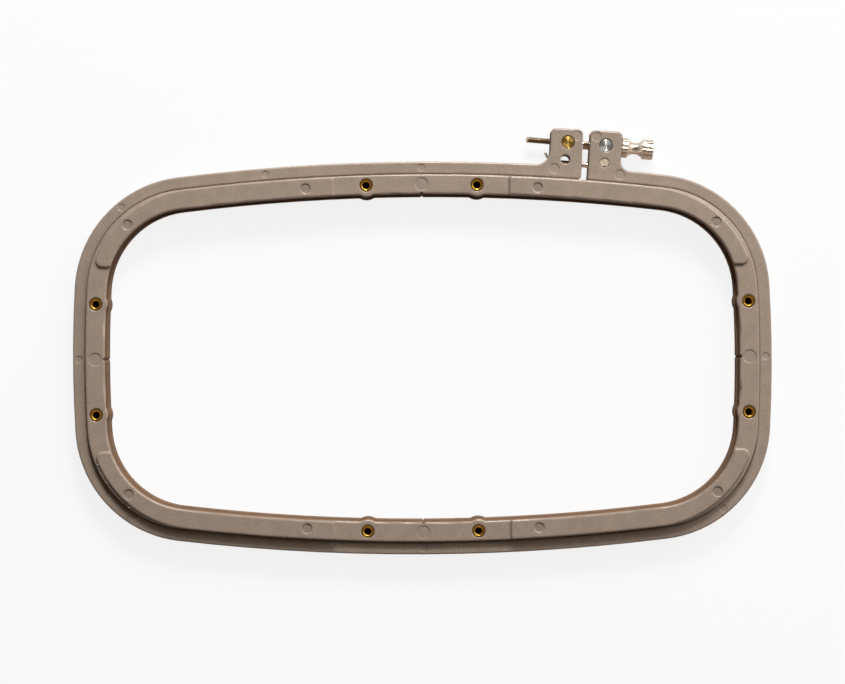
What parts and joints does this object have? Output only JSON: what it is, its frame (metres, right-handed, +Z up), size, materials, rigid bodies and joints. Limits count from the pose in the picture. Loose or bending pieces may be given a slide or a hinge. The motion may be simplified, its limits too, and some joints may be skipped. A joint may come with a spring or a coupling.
{
  "type": "embroidery hoop",
  "caption": "Oblong two-ring hoop that grips cloth between a split outer ring with a thumb-screw clamp and a padded inner ring with threaded bracket holes on all four sides.",
  "frame": {"origin": "middle of the footprint, at the underside that the hoop rests on", "axes": "+X along the hoop's long sides, towards the thumb screw's knob; +Y across the hoop towards the clamp; +Z up, out of the pads' faces"},
  "size_m": [0.337, 0.2052, 0.014],
  "materials": {
    "outer_plastic": "satin moulded",
    "inner_plastic": "satin moulded",
    "insert_brass": "turned",
    "nut_brass": "turned, dull",
    "pin_steel": "turned, dull",
    "screw_nickel": "nickel plated",
    "clip_steel": "spring steel",
    "rod_steel": "ground",
    "stop_steel": "dull",
    "adhesive": "hardened, rough"
  },
  "bodies": {
    "outer": {"outer_ring": "outer_plastic", "barrel_nut": "nut_brass", "trunnion_pin": "pin_steel", "guide_rod": "rod_steel", "stop_pin": "stop_steel", "rod_plug": "adhesive"},
    "inner": {"inner_ring": "inner_plastic", "insert_far_right": "insert_brass", "insert_far_left": "insert_brass", "insert_near_left": "insert_brass", "insert_near_right": "insert_brass", "insert_right_far": "insert_brass", "insert_left_far": "insert_brass", "insert_left_near": "insert_brass", "insert_right_near": "insert_brass"},
    "screw": {"thumb_screw": "screw_nickel", "retaining_clip": "clip_steel"}
  },
  "joints": [
    {"name": "inner_ring_lift", "type": "slide", "parent": "outer", "child": "inner", "axis": [0, 0, 1], "range_m": [0, 0.03]},
    {"name": "thumb_screw_turn", "type": "hinge", "parent": "outer", "child": "screw", "pos_m": [0.07951, 0.09496, 0.005], "axis": [0.996, -0.089, 0], "continuous": true}
  ]
}
